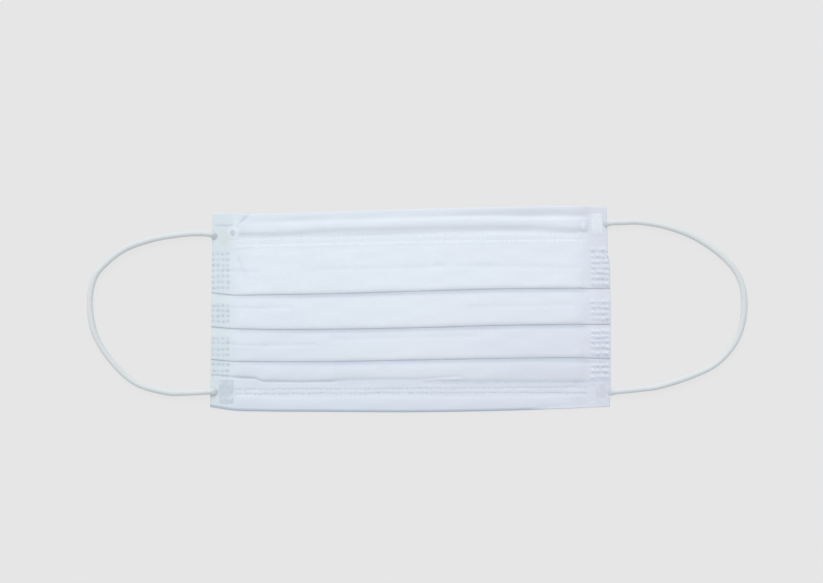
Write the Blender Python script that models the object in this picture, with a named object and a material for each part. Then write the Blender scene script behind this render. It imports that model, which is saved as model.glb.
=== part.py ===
"""Surgical face mask with three pleats, lying on its back with its ear loops spread out.

Metres. +X runs to the right across the front, +Y runs up the front to the nose, and +Z comes out of the front.
The origin is under the middle of the mask body, on the surface that the mask lies on.
"""
import math

import bmesh
import bpy
from mathutils import Vector
from mathutils.bvhtree import BVHTree

# Mask body: one sheet of laminated cloth, folded
MASK_WIDTH = 0.1750
MASK_HEIGHT = 0.0890
CLOTH = 0.0010  # thickness of the sheet
LAYER_GAP = 0.0003  # between two layers that the side welds press together
PUFF = 0.0002  # what each gap between layers opens by, away from the side welds
CROWN = 0.0005  # how far each panel bulges forward above its fold
LOWEST_CROWN = 0.0010  # the same for the panel under the last fold
PLEAT_DEPTH = 0.0080  # how far each pleat reaches up behind its fold
TOP_HEM = 0.0160  # how far the sheet is folded back behind the top edge
BOTTOM_HEM = 0.0140
SIDE_WELD = 0.0080  # width of the flat welded strip down each side
WELD_SLOPE = 0.0050  # in which the layers open, beside a side weld

# Nose wire, in the channel of the top hem
WIRE_WIDTH = 0.0035
WIRE_THICKNESS = 0.0008
WIRE_DROP = 0.0074  # from the top edge down to the middle of the wire
WIRE_INSET = 0.0125  # from the side edge of the mask to the end of the wire
RIDGE_END = 0.0025  # in which the ridge over the wire dies away past its end

# Ear loops and their pressed ends
CORD_DIAMETER = 0.0026
PAD_WIDTH = 0.0062
PAD_HEIGHT = 0.0110
PAD_THICKNESS = 0.0008
PAD_CORNER = 0.0012  # radius of a pad's corners

CLEARANCE = 0.0003  # between a piece and what carries it

# Steps of the faceted shapes
TURN_STEPS = 4
RAMP_STEPS = 4
MIDDLE_STEPS = 12
CORNER_STEPS = 3
CURVE_STEPS = 24  # between two points of a cord's route, before its points are spaced evenly
CORD_STEP = 2.0  # point spacing along a cord, in diameters
LEAST_STEP = 0.0005  # between two sections of the body

# The five lines that cross the body, at seven places across it. The places are shares of MASK_WIDTH from the
# middle, and each row holds how far up its line runs there, as shares of MASK_HEIGHT from the middle.
PLACES = {
    "left_edge": -0.500, "left_weld": -0.440, "left": -0.220, "middle": 0.000,
    "right": 0.220, "right_weld": 0.440, "right_edge": 0.500,
}
LINES = {
    # left_edge, left_weld, left, middle, right, right_weld, right_edge
    "top_edge": (0.474, 0.471, 0.480, 0.493, 0.504, 0.508, 0.505),
    "fold_1": (0.082, 0.070, 0.074, 0.087, 0.099, 0.104, 0.104),
    "fold_2": (-0.085, -0.096, -0.100, -0.093, -0.080, -0.074, -0.074),
    "fold_3": (-0.246, -0.256, -0.259, -0.250, -0.243, -0.240, -0.242),
    "bottom_edge": (-0.481, -0.500, -0.506, -0.508, -0.501, -0.486, -0.481),
}
FOLDS = ("fold_1", "fold_2", "fold_3")

# The two side edges, from top to bottom. The height is a share of MASK_HEIGHT from the middle, and the edges are
# shares of MASK_WIDTH from the middle.
SIDES = {
    # height, left, right
    "top": (0.500, -0.496, 0.491),
    "upper": (0.330, -0.497, 0.495),
    "middle": (0.200, -0.498, 0.499),
    "lower": (-0.350, -0.501, 0.501),
    "bottom": (-0.500, -0.502, 0.499),
}

# The ridge over the nose wire, from top to bottom: the place down from the middle of the wire in wire widths, and
# the rise as a share of what the wire lifts the cloth by.
RIDGE = {
    # down, rise
    "upper_foot": (-1.15, 0.0),
    "upper_brow": (-0.62, 1.0),
    "lower_brow": (0.62, 1.0),
    "lower_foot": (1.15, 0.0),
}

# The middles of the pressed cord ends, as shares of MASK_WIDTH and MASK_HEIGHT from the middle.
PADS = {
    # across, up
    "loop_weld_upper_left": (-0.465, 0.367),
    "loop_weld_lower_left": (-0.461, -0.406),
    "loop_weld_upper_right": (0.466, 0.415),
    "loop_weld_lower_right": (0.478, -0.386),
}

# The routes of the ear loops, chosen by hand, from the upper pressed end to the lower one.
EAR_LOOP_ROUTES = {
    "ear_loop_left": (
        (-0.0848, 0.0328, 0.0041), (-0.0880, 0.0332, 0.0041), (-0.0940, 0.0333, 0.0027),
        (-0.1014, 0.0327, 0.0016), (-0.1136, 0.0307, 0.0014), (-0.1254, 0.0264, 0.0014),
        (-0.1352, 0.0186, 0.0014), (-0.1392, 0.0120, 0.0014), (-0.1405, 0.0013, 0.0014),
        (-0.1382, -0.0110, 0.0014), (-0.1309, -0.0227, 0.0014), (-0.1205, -0.0322, 0.0014),
        (-0.1075, -0.0361, 0.0014), (-0.1002, -0.0365, 0.0016), (-0.0940, -0.0363, 0.0027),
        (-0.0885, -0.0361, 0.0041), (-0.0842, -0.0364, 0.0041),
    ),
    "ear_loop_right": (
        (0.0851, 0.0378, 0.0041), (0.0880, 0.0381, 0.0041), (0.0935, 0.0383, 0.0027),
        (0.1009, 0.0383, 0.0016), (0.1132, 0.0361, 0.0014), (0.1255, 0.0312, 0.0014),
        (0.1378, 0.0223, 0.0014), (0.1447, 0.0125, 0.0014), (0.1462, 0.0000, 0.0014),
        (0.1431, -0.0128, 0.0014), (0.1348, -0.0231, 0.0014), (0.1243, -0.0286, 0.0014),
        (0.1095, -0.0335, 0.0014), (0.1021, -0.0347, 0.0016), (0.0953, -0.0354, 0.0027),
        (0.0903, -0.0358, 0.0041), (0.0872, -0.0360, 0.0041),
    ),
}

COLOURS = {
    # red, green, blue and roughness
    "pleated_panel": (0.72, 0.80, 0.88, 0.75),
    "nose_wire": (0.80, 0.81, 0.82, 0.45),
    "ear_loop": (0.76, 0.79, 0.80, 0.80),
    "loop_weld": (0.66, 0.75, 0.82, 0.55),
}


def smooth_step(share):
    """Goes from 0 to 1 with level ends, for a share from 0 to 1."""
    share = min(max(share, 0.0), 1.0)
    return share * share * (3.0 - 2.0 * share)


def smooth_value(places, values, place):
    """The height at a place of the smooth curve through the values at the given places."""
    slopes = []
    for i in range(len(places)):
        before = max(i - 1, 0)
        after = min(i + 1, len(places) - 1)
        slopes.append((values[after] - values[before]) / (places[after] - places[before]))
    i = 0
    while i < len(places) - 2 and place > places[i + 1]:
        i += 1
    span = places[i + 1] - places[i]
    t = (place - places[i]) / span
    return (
        (2 * t**3 - 3 * t**2 + 1) * values[i]
        + (t**3 - 2 * t**2 + t) * span * slopes[i]
        + (3 * t**2 - 2 * t**3) * values[i + 1]
        + (t**3 - t**2) * span * slopes[i + 1]
    )


def line_height(name, across):
    """How far up a named line runs, at a share of the width from the middle."""
    return MASK_HEIGHT * smooth_value(tuple(PLACES.values()), LINES[name], across)


def side_edges(y):
    """The x of the left and right edges of the body at a height y."""
    rows = sorted(SIDES.values())
    heights = [MASK_HEIGHT * row[0] for row in rows]
    level = min(max(y, heights[0]), heights[-1])
    return tuple(MASK_WIDTH * smooth_value(heights, [row[side] for row in rows], level) for side in (1, 2))


def body_point(across, y, z):
    """A point of the body, at a share of its width between the two side edges."""
    left, right = side_edges(y)
    return Vector((left + (across + 0.5) * (right - left), y, z))


def across_at(x, y):
    """The share of the width between the side edges at which x lies."""
    left, right = side_edges(y)
    return (x - left) / (right - left) - 0.5


def wire_line(across):
    """How far up the middle of the nose wire runs."""
    return line_height("top_edge", across) - WIRE_DROP


def wire_ends():
    """The x of the left and right ends of the nose wire."""
    left, right = side_edges(wire_line(0.0))
    return left + WIRE_INSET, right - WIRE_INSET


def over_wire(across):
    """1 over the nose wire, and 0 well past its ends."""
    x = body_point(across, wire_line(across), 0.0).x
    left, right = wire_ends()
    past_end = max(left - CLEARANCE - x, x - right - CLEARANCE)
    return 1.0 - smooth_step(past_end / RIDGE_END)


def away_from_welds(across):
    """0 in the side welds, and 1 in the middle of the body."""
    from_edge = (0.5 - abs(across)) * MASK_WIDTH
    return smooth_step((from_edge - SIDE_WELD) / WELD_SLOPE)


def add_turn(path, edge, start, end):
    """Adds a half round from the height start to the height end, which just reaches the line at edge."""
    side = 1.0 if edge > path[-1][0] else -1.0
    radius = abs(end - start) / 2
    centre = edge - side * (radius + CLOTH / 2)
    for step in range(TURN_STEPS + 1):
        angle = math.pi * step / TURN_STEPS
        height = (start + end) / 2 - (end - start) / 2 * math.cos(angle)
        path.append((centre + side * radius * math.sin(angle), height))


def add_ramp(path, y, z, bulge):
    """Adds a slope from the end of the path to the point (y, z), which bulges forward on its way."""
    start_y, start_z = path[-1]
    for step in range(1, RAMP_STEPS + 1):
        share = step / RAMP_STEPS
        rise = (z - start_z) * smooth_step(share) + bulge * math.sin(math.pi * share)
        path.append((start_y + (y - start_y) * share, start_z + rise))


def cloth_path(across):
    """Points (y, z) of the middle of the sheet in one section, from the back of the top hem down to the back of
    the bottom hem.
    """
    top = line_height("top_edge", across)
    bottom = line_height("bottom_edge", across)
    opened = away_from_welds(across)
    pressed_pitch = CLOTH + LAYER_GAP
    pitch = pressed_pitch + PUFF * opened
    back = CLOTH / 2
    middle = back + pitch
    front = middle + pitch
    hem_front = back + pressed_pitch
    wire_lift = (WIRE_THICKNESS + 2 * CLEARANCE - LAYER_GAP) * over_wire(across)

    path = [(top - TOP_HEM, back)]
    add_turn(path, top, back, hem_front)
    for down, rise in RIDGE.values():
        path.append((wire_line(across) - down * WIRE_WIDTH, hem_front + rise * wire_lift))
    path.append((top - TOP_HEM, hem_front))
    for fold in FOLDS:
        edge = line_height(fold, across)
        add_ramp(path, edge + PLEAT_DEPTH, front, CROWN * opened)
        add_turn(path, edge, front, middle)
        add_turn(path, edge + PLEAT_DEPTH, middle, back)
        path.append((edge, back))
    add_ramp(path, bottom + BOTTOM_HEM + LAYER_GAP, hem_front, LOWEST_CROWN * opened)
    add_turn(path, bottom, hem_front, back)
    path.append((bottom + BOTTOM_HEM, back))
    return path


def stations():
    """The shares of the width at which the body's sections are taken, from left to right."""
    weld = 0.5 - SIDE_WELD / MASK_WIDTH
    opened = weld - WELD_SLOPE / MASK_WIDTH
    left_wire, right_wire = wire_ends()
    height = wire_line(0.0)
    ends = [across_at(left_wire - CLEARANCE, height), across_at(right_wire + CLEARANCE, height)]
    past = [across_at(left_wire - RIDGE_END, height), across_at(right_wire + RIDGE_END, height)]
    shares = [-weld, -opened, opened, weld] + ends + past
    inner = min(opened, ends[1], -ends[0])
    shares += [inner * (2 * step / MIDDLE_STEPS - 1) for step in range(1, MIDDLE_STEPS)]
    kept = [-0.5]
    for share in sorted(shares):
        if min(share - kept[-1], 0.5 - share) * MASK_WIDTH > LEAST_STEP:
            kept.append(share)
    return kept + [0.5]


def new_object(name, mesh_or_curve, colour):
    """Links a new object with a material of its own."""
    part = bpy.data.objects.new(name, mesh_or_curve)
    bpy.context.collection.objects.link(part)
    material = bpy.data.materials.new(name + "_material")
    material.use_nodes = True
    shader = material.node_tree.nodes["Principled BSDF"]
    red, green, blue, roughness = COLOURS[colour]
    shader.inputs["Base Color"].default_value = (red, green, blue, 1.0)
    shader.inputs["Roughness"].default_value = roughness
    shader.inputs["Metallic"].default_value = 0.0
    mesh_or_curve.materials.append(material)
    return part


def mesh_from(bm, name):
    """Makes a mesh of a bmesh, with its faces pointing out, and frees the bmesh."""
    bmesh.ops.recalc_face_normals(bm, faces=bm.faces)
    mesh = bpy.data.meshes.new(name)
    bm.to_mesh(mesh)
    bm.free()
    return mesh


def make_panel():
    """The pleated body: a folded sheet through its sections, thickened to both sides."""
    bm = bmesh.new()
    rows = []
    for across in stations():
        rows.append([bm.verts.new(body_point(across, y, z)) for y, z in cloth_path(across)])
    for left, right in zip(rows, rows[1:]):
        for i in range(len(left) - 1):
            bm.faces.new((left[i], left[i + 1], right[i + 1], right[i]))
    panel = new_object("pleated_panel", mesh_from(bm, "pleated_panel"), "pleated_panel")
    wall = panel.modifiers.new("cloth", "SOLIDIFY")
    wall.thickness = CLOTH
    wall.offset = 0.0
    wall.use_even_offset = True
    wall.use_rim = True
    return panel


def make_nose_wire():
    """The flat wire strip, which follows the top edge inside the hem."""
    bm = bmesh.new()
    left, right = wire_ends()
    steps = 2 * MIDDLE_STEPS
    bottom = CLOTH + CLEARANCE
    rows = []
    for step in range(steps + 1):
        x = left + (right - left) * step / steps
        middle = wire_line(across_at(x, wire_line(0.0)))
        corners = []
        for side, height in ((-0.5, 0.0), (0.5, 0.0), (0.5, 1.0), (-0.5, 1.0)):
            corners.append(bm.verts.new((x, middle + side * WIRE_WIDTH, bottom + height * WIRE_THICKNESS)))
        rows.append(corners)
    for near, far in zip(rows, rows[1:]):
        for i in range(4):
            j = (i + 1) % 4
            bm.faces.new((near[i], near[j], far[j], far[i]))
    bm.faces.new(rows[0])
    bm.faces.new(rows[-1])
    return new_object("nose_wire", mesh_from(bm, "nose_wire"), "nose_wire")


def rounded_outline(width, height, radius):
    """Points of a rectangle with round corners, around its middle."""
    points = []
    for corner in range(4):
        for step in range(CORNER_STEPS + 1):
            angle = math.pi / 2 * (corner + step / CORNER_STEPS)
            x = (width / 2 - radius) * (1 if corner in (0, 3) else -1) + radius * math.cos(angle)
            y = (height / 2 - radius) * (1 if corner in (0, 1) else -1) + radius * math.sin(angle)
            points.append((x, y))
    return points


def front_under(panel, points):
    """The highest point of the panel's front face under some places (x, y)."""
    graph = bpy.context.evaluated_depsgraph_get()
    mesh = panel.evaluated_get(graph).to_mesh()
    tree = BVHTree.FromPolygons([vertex.co for vertex in mesh.vertices], [face.vertices for face in mesh.polygons])
    above = MASK_HEIGHT  # well over the front of the mask
    heights = []
    for x, y in points:
        hit = tree.ray_cast(Vector((x, y, above)), Vector((0.0, 0.0, -1.0)))[0]
        if hit is not None:
            heights.append(hit.z)
    return max(heights)


def make_pad(name, across, up, panel):
    """The pressed end of an ear loop, flat on the front of a corner."""
    outline = [
        (across * MASK_WIDTH + x, up * MASK_HEIGHT + y)
        for x, y in rounded_outline(PAD_WIDTH, PAD_HEIGHT, PAD_CORNER)
    ]
    seat = front_under(panel, outline) + CLEARANCE
    bm = bmesh.new()
    base = bm.faces.new([bm.verts.new((x, y, seat)) for x, y in outline])
    raised = bmesh.ops.extrude_face_region(bm, geom=[base])["geom"]
    lifted = [item for item in raised if isinstance(item, bmesh.types.BMVert)]
    bmesh.ops.translate(bm, verts=lifted, vec=(0.0, 0.0, PAD_THICKNESS))
    return new_object(name, mesh_from(bm, name), "loop_weld")


def curve_points(route, spacing):
    """Points at an even spacing along the smooth curve through a route."""
    fine = []
    for i in range(len(route) - 1):
        p0, p1, p2, p3 = (Vector(route[min(max(j, 0), len(route) - 1)]) for j in range(i - 1, i + 3))
        for step in range(CURVE_STEPS):
            t = step / CURVE_STEPS
            fine.append(
                0.5 * (2 * p1 + (p2 - p0) * t + (2 * p0 - 5 * p1 + 4 * p2 - p3) * t**2
                       + (3 * p1 - p0 - 3 * p2 + p3) * t**3)
            )
    fine.append(Vector(route[-1]))
    lengths = [0.0]
    for a, b in zip(fine, fine[1:]):
        lengths.append(lengths[-1] + (b - a).length)
    count = max(2, round(lengths[-1] / spacing))
    points = []
    i = 0
    for step in range(count + 1):
        goal = lengths[-1] * step / count
        while i < len(fine) - 2 and lengths[i + 1] < goal:
            i += 1
        share = (goal - lengths[i]) / (lengths[i + 1] - lengths[i])
        points.append(fine[i].lerp(fine[i + 1], share))
    return points


def make_ear_loop(name):
    """One elastic cord, as a round tube along its route."""
    curve = bpy.data.curves.new(name, "CURVE")
    curve.dimensions = "3D"
    curve.bevel_depth = CORD_DIAMETER / 2
    curve.bevel_resolution = 2
    curve.use_fill_caps = True
    points = curve_points(EAR_LOOP_ROUTES[name], CORD_STEP * CORD_DIAMETER)
    spline = curve.splines.new("POLY")
    spline.points.add(len(points) - 1)
    for spline_point, point in zip(spline.points, points):
        spline_point.co = (*point, 1.0)
    return new_object(name, curve, "ear_loop")


def main():
    for old in list(bpy.data.objects):
        bpy.data.objects.remove(old, do_unlink=True)
    panel = make_panel()
    make_nose_wire()
    for name, (across, up) in PADS.items():
        make_pad(name, across, up, panel)
    for name in EAR_LOOP_ROUTES:
        make_ear_loop(name)


main()
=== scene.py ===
"""Looks of the pleated surgical mask, lying on its back with its ear loops spread, seen from above."""
import math

import bmesh
import bpy
import numpy as np
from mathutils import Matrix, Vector
from mathutils.bvhtree import BVHTree


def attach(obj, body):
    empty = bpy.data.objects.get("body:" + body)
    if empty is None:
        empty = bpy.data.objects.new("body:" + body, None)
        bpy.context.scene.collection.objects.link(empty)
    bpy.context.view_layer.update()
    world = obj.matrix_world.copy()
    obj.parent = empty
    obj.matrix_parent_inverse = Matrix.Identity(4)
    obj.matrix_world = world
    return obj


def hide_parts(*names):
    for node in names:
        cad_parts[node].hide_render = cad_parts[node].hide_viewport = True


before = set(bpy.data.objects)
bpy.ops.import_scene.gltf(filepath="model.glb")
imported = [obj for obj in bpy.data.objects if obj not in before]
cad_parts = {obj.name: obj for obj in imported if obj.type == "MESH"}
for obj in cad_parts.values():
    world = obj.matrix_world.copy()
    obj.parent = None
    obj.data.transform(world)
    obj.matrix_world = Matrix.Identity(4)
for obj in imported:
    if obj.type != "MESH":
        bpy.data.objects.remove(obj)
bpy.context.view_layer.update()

MM = 0.001

# The body's outline and folds, as in the solids: heights at places across it, all in mm from its middle
BODY_WIDTH = 175.0
TOP_HEM = 16.0
BOTTOM_HEM = 14.0
PLEAT_DEPTH = 8.0
SIDE_WELD = 8.0
WELD_SLOPE = 6.0
PLACES = (-87.5, -77.0, -66.0, -38.5, 0.0, 38.5, 77.0, 87.5)
LINES = {
    # left edge, left weld, beside it, left, middle, right, right weld, right edge
    "top_edge": (42.2, 41.9, 41.8, 42.7, 43.9, 44.9, 45.2, 44.9),
    "fold_1": (7.5, 6.4, 6.5, 6.9, 8.0, 9.1, 9.4, 9.5),
    "fold_2": (-7.4, -8.3, -8.6, -8.6, -8.0, -6.9, -6.4, -6.3),
    "fold_3": (-21.7, -22.6, -22.8, -22.8, -22.1, -21.4, -21.1, -21.3),
    "bottom_edge": (-42.7, -44.3, -44.6, -44.8, -45.0, -44.4, -43.1, -42.6),
}
CREASE = (
    # across, up: where the lowest panel dips to the welded hem
    (-87.9, -29.2), (-79.2, -29.9), (-68.2, -30.3), (-65.1, -31.4), (-48.5, -31.7),
    (-34.0, -31.4), (-28.0, -30.9), (-10.0, -30.6), (6.4, -30.7), (21.7, -31.4),
    (39.3, -31.5), (78.7, -31.7), (87.5, -31.4),
)
SIDE_EDGES = (
    # up, left edge, right edge
    (-44.5, -87.9, 87.3), (-31.0, -87.7, 87.7), (0.0, -87.3, 87.75), (20.0, -87.1, 87.35),
    (21.4, -87.05, 87.15), (24.3, -87.0, 86.5), (30.5, -86.95, 86.4), (44.5, -86.8, 85.9),
)
FOLDS = ("fold_1", "fold_2", "fold_3")

# The thickness of the cloth's three webs together in mm, free and welded, and the share lost at a fold
CLOTH = 0.36
WELDED_CLOTH = 0.24
FOLD_THINNING = 0.60
# Heights of the cloth's middle surface above the table, and the pitch of two layers, in mm
BACK = 0.19
WELDED_PITCH = 0.27
LIFTED_PITCH = 0.40
FOLD_FRONT = 1.76
FOLD_MIDDLE = 1.02
FOLD_BACK = 0.86
REAR_MIDDLE = 0.72
HEM_FRONT = 0.66
ROLLED_EDGE = 0.75
# How far the cloth dips along a fold's edge, and how far before the edge its half round starts, in mm
FOLD_DIP = 0.44
NEAR_EDGE = 0.6

# The top band over the nose wire: heights at distances below the top edge, at seven places across, in mm
BAND_PLACES = (-70.0, -53.0, -28.0, 0.0, 28.0, 52.0, 70.0)
BAND_BELOW = (0.6, 1.4, 2.2, 3.0, 3.8, 4.5, 5.2, 6.0, 7.0, 8.0, 8.8, 9.6, 10.4, 11.2, 12.2, 13.5, 16.0)
BAND = (
    (1.40, 1.40, 1.40, 1.40, 1.42, 1.48, 1.53, 1.54, 1.52, 1.40, 1.00, 0.70, 0.55, 0.56, 0.60, 0.66, 0.76),
    (1.70, 1.64, 1.50, 1.36, 1.32, 1.46, 1.58, 1.62, 1.56, 1.30, 0.92, 0.64, 0.54, 0.56, 0.60, 0.66, 0.76),
    (1.66, 1.62, 1.52, 1.42, 1.43, 1.56, 1.68, 1.72, 1.66, 1.32, 1.00, 0.84, 0.66, 0.56, 0.60, 0.66, 0.76),
    (1.60, 1.56, 1.49, 1.42, 1.45, 1.62, 1.74, 1.77, 1.68, 1.36, 1.00, 0.80, 0.58, 0.56, 0.60, 0.66, 0.76),
    (1.92, 1.84, 1.64, 1.40, 1.30, 1.50, 1.66, 1.68, 1.58, 1.34, 1.00, 0.70, 0.52, 0.55, 0.61, 0.66, 0.76),
    (2.20, 2.02, 1.72, 1.42, 1.16, 1.10, 1.28, 1.50, 1.49, 1.36, 1.06, 0.72, 0.48, 0.46, 0.58, 0.65, 0.76),
    (1.95, 1.82, 1.62, 1.36, 1.14, 1.06, 1.24, 1.46, 1.49, 1.50, 1.49, 1.30, 0.98, 0.70, 0.56, 0.64, 0.76),
)
# The share of the cloth's relief that the band shows
BAND_RELIEF = 0.6

# The nose wire in mm: drop below the top edge, size, height above the table, ends and counts of points
WIRE_DROP = 6.6
WIRE_WIDTH = 3.5
WIRE_THICKNESS = 0.5
WIRE_HEIGHT = 0.68
WIRE_REACH = (-74.4, 73.8)
WIRE_RINGS = 90
WIRE_ROUND = 16


def smooth_step(share):
    """Goes from 0 to 1 with level ends."""
    share = np.clip(share, 0.0, 1.0)
    return share * share * (3.0 - 2.0 * share)


def blend(a, b, share):
    return a + (b - a) * share


def smooth_curve(places, values, at):
    """The smooth curve through values at the given places, read at an array of places."""
    places = np.asarray(places, float)
    values = np.asarray(values, float)
    slopes = np.gradient(values, places)
    i = np.clip(np.searchsorted(places, at) - 1, 0, len(places) - 2)
    span = places[i + 1] - places[i]
    t = np.clip((at - places[i]) / span, 0.0, 1.0)
    return (
        (2 * t**3 - 3 * t**2 + 1) * values[i]
        + (t**3 - 2 * t**2 + t) * span * slopes[i]
        + (3 * t**2 - 2 * t**3) * values[i + 1]
        + (t**3 - t**2) * span * slopes[i + 1]
    )


# The columns of points are close together in the dotted side welds: the width of those parts and the counts
FINE_MARGIN = 9.6
FINE_COLUMNS = 25
WIDE_COLUMNS = 147


def columns():
    """Places across the body, in mm."""
    weld = np.linspace(0.0, FINE_MARGIN, FINE_COLUMNS)[:-1]
    middle = np.linspace(FINE_MARGIN, BODY_WIDTH / 2, WIDE_COLUMNS)
    half = np.concatenate([weld, middle])
    return np.concatenate([half - BODY_WIDTH / 2, (BODY_WIDTH / 2 - half)[::-1][1:]])


def openness(x):
    """0 in the side welds and 1 beyond their slopes, where the layers of cloth lie loose."""
    return smooth_step((BODY_WIDTH / 2 - np.abs(x) - SIDE_WELD) / WELD_SLOPE)


ACROSS = columns()
LINE = {name: smooth_curve(PLACES, row, ACROSS) for name, row in LINES.items()}
LINE["crease"] = np.interp(ACROSS, [p[0] for p in CREASE], [p[1] for p in CREASE])
FROM_SIDE = BODY_WIDTH / 2 - np.abs(ACROSS)
OPENED = openness(ACROSS)
# Shares across the body: over the nose wire, and where the lowest panel hangs over the hem, on the left
OVER_WIRE = smooth_step((ACROSS + 77.5) / 3.0) * smooth_step((81.0 - ACROSS) / 5.0)
OVERHANG = blend(0.55, 1.0, smooth_step((ACROSS + 67.0) / 2.5)) * smooth_step((-31.5 - ACROSS) / 3.0)


class Sheet:
    """Rows of points (up, height), from the top hem's back down the front to the bottom hem's back."""

    def __init__(self):
        self.up = []
        self.height = []
        self.front = []

    def row(self, up, height, front=0.0):
        self.up.append(np.broadcast_to(up, ACROSS.shape).astype(float))
        self.height.append(np.broadcast_to(height, ACROSS.shape).astype(float))
        self.front.append(front)

    def turn(self, edge, start, end, side, steps, front=(0.0, 0.0)):
        """A half round from one height to another, which just reaches the line at edge."""
        thickness = blend(WELDED_CLOTH, CLOTH, OPENED)
        radius = np.abs(end - start) / 2
        centre = edge - side * (radius + thickness / 2)
        for step in range(steps + 1):
            angle = math.pi * step / steps
            share = (1.0 - math.cos(angle)) / 2
            up = centre + side * radius * math.sin(angle)
            self.row(up, blend(start, end, share), blend(*front, share))

    def run(self, start, end, shares, height, fade_in=0.0):
        """Rows down the front from one line to another, with heights from a function of the share."""
        for share in shares:
            strength = float(smooth_step(share / fade_in)) if fade_in else 1.0
            self.row(blend(start, end, share), height(share), strength)


def even(steps):
    return np.arange(1, steps + 1) / (steps + 1)


def top_band(sheet):
    """The top hem: its back, the thin lifted edge, the ridge over the wire and the welded strip below."""
    top = LINE["top_edge"]
    welded = BACK + WELDED_PITCH
    roll = blend(welded, smooth_curve(BAND_PLACES, [row[0] for row in BAND], ACROSS), OVER_WIRE)
    under = roll - blend(WELDED_PITCH, LIFTED_PITCH, OVER_WIRE)
    for below, lift in ((TOP_HEM, 0.0), (9.0, 0.0), (4.6, 0.0), (2.4, 0.4), (1.0, 0.85)):
        sheet.row(top - below, blend(BACK, under, lift))
    sheet.turn(top, under, roll, 1.0, 6, (0.0, BAND_RELIEF))
    for below in np.concatenate([np.linspace(0.9, 11.0, 22)[:-1], np.linspace(11.0, TOP_HEM, 20)]):
        heights = [float(smooth_curve(BAND_BELOW, row, below)) for row in BAND]
        puffed = smooth_curve(BAND_PLACES, heights, ACROSS)
        sheet.row(top - below, blend(welded, puffed, OVER_WIRE), BAND_RELIEF)


def pleats(sheet):
    """The first panel and the three knife pleats, which open downwards."""
    start_height = sheet.height[-1]
    front = blend(BACK + 2 * WELDED_PITCH, FOLD_FRONT, OPENED)
    middle = blend(BACK + WELDED_PITCH, FOLD_MIDDLE, OPENED)
    back = blend(BACK, FOLD_BACK, OPENED)
    rear_middle = blend(BACK + WELDED_PITCH, REAR_MIDDLE, OPENED)

    def first_panel(share):
        return blend(start_height, front, blend(smooth_step(share / 0.6), share ** 0.95, OPENED))

    def next_panel(share):
        return blend(back, front, blend(smooth_step(share / 0.42), share * (1.15 - 0.15 * share), OPENED))

    sheet.run(LINE["top_edge"] - TOP_HEM, LINE["fold_1"] + NEAR_EDGE, even(30), first_panel, fade_in=0.1)
    for name, below in zip(FOLDS, FOLDS[1:] + (None,)):
        fold = LINE[name]
        rear = fold + PLEAT_DEPTH
        sheet.turn(fold, front, middle, -1.0, 6, (1.0, 0.0))
        for share in (0.33, 0.66):
            sheet.row(blend(fold + NEAR_EDGE, rear - NEAR_EDGE, share), blend(middle, rear_middle, share))
        sheet.turn(rear, rear_middle, BACK, 1.0, 4)
        for share in (0.3, 0.6, 0.85):
            sheet.row(blend(rear - NEAR_EDGE, fold, share), blend(BACK, back, share))
        if below:
            sheet.run(fold, LINE[below] + NEAR_EDGE, even(25), next_panel, fade_in=0.1)
    return back


def lower_band(sheet, back):
    """The lowest panel, which bulges over the welded hem, then the hem and the rolled bottom edge."""
    hem_level = blend(BACK + WELDED_PITCH, HEM_FRONT, OPENED)
    bulge = blend(0.0, blend(0.50, 0.80, OVERHANG), OPENED)
    bottom = LINE["bottom_edge"]

    def lowest_panel(share):
        even_swell = math.sin(math.pi * share) ** 0.8
        low_swell = math.sin(math.pi * share ** 1.5) ** 0.45
        return blend(back, hem_level, share) + bulge * blend(even_swell, low_swell, OVERHANG)

    def hem(share):
        belly = 0.26 * float(smooth_step((share - 0.50) / 0.14)) * float(smooth_step((1.01 - share) / 0.24))
        return hem_level + belly * OPENED

    sheet.run(LINE["fold_3"], LINE["crease"], even(20), lowest_panel, fade_in=0.1)
    shares = np.concatenate([np.linspace(0.02, 0.56, 27), np.linspace(0.56, 0.97, 11)[1:]])
    sheet.run(LINE["crease"], bottom + NEAR_EDGE, shares, hem)
    edge = blend(BACK + WELDED_PITCH, ROLLED_EDGE, OPENED)
    sheet.turn(bottom, edge, BACK, -1.0, 6, (1.0, 0.0))
    for share in (0.2, 0.6, 1.0):
        sheet.row(blend(bottom + 1.5, bottom + BOTTOM_HEM, share), BACK)


def side_edges(up):
    """The two side edges at an array of heights up the body, with the small step in the right edge."""
    table = np.array(SIDE_EDGES)
    return np.interp(up, table[:, 0], table[:, 1]), np.interp(up, table[:, 0], table[:, 2])


# Weld dots, in mm: rows by their heights at three places, and columns and rows in the two side welds
DOT_PITCH = 2.1
ROW_PLACES = (-77.0, 0.0, 77.0)
TOP_ROWS = ((30.3, 32.0, 32.8), (27.3, 29.0, 29.95))
BOTTOM_ROWS = ((-35.0, -34.7, -34.1), (-37.1, -36.7, -36.6))
HALF_ROW = ((-32.4, -32.2, -31.9),)
SIDE_COLUMNS = ((-86.4, -84.4, -82.2, -80.1), (80.0, 82.2, 84.4, 86.3))
SIDE_ROWS = (
    (24.2, 21.8, 19.3, 17.0, 14.4, 11.9, 9.4, 1.7, -0.5, -2.9, -5.3, -12.8, -14.9, -17.6,
     -20.0, -24.4, -27.2, -29.2),
    (26.5, 23.8, 21.4, 19.0, 16.7, 14.3, 11.7, 3.7, 1.5, -1.1, -3.5, -9.1, -11.4, -13.6,
     -16.0, -18.8, -23.9, -26.6, -29.1),
)
# Fine lines pressed in beside the rows: heights at the same three places, and the depth
ROW_LINES = (
    (28.3, 30.2, 30.9, 0.12), (26.4, 28.0, 29.3, 0.05),
    (-34.9, -34.6, -34.1, 0.08), (-37.1, -36.6, -36.6, 0.09),
)


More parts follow.
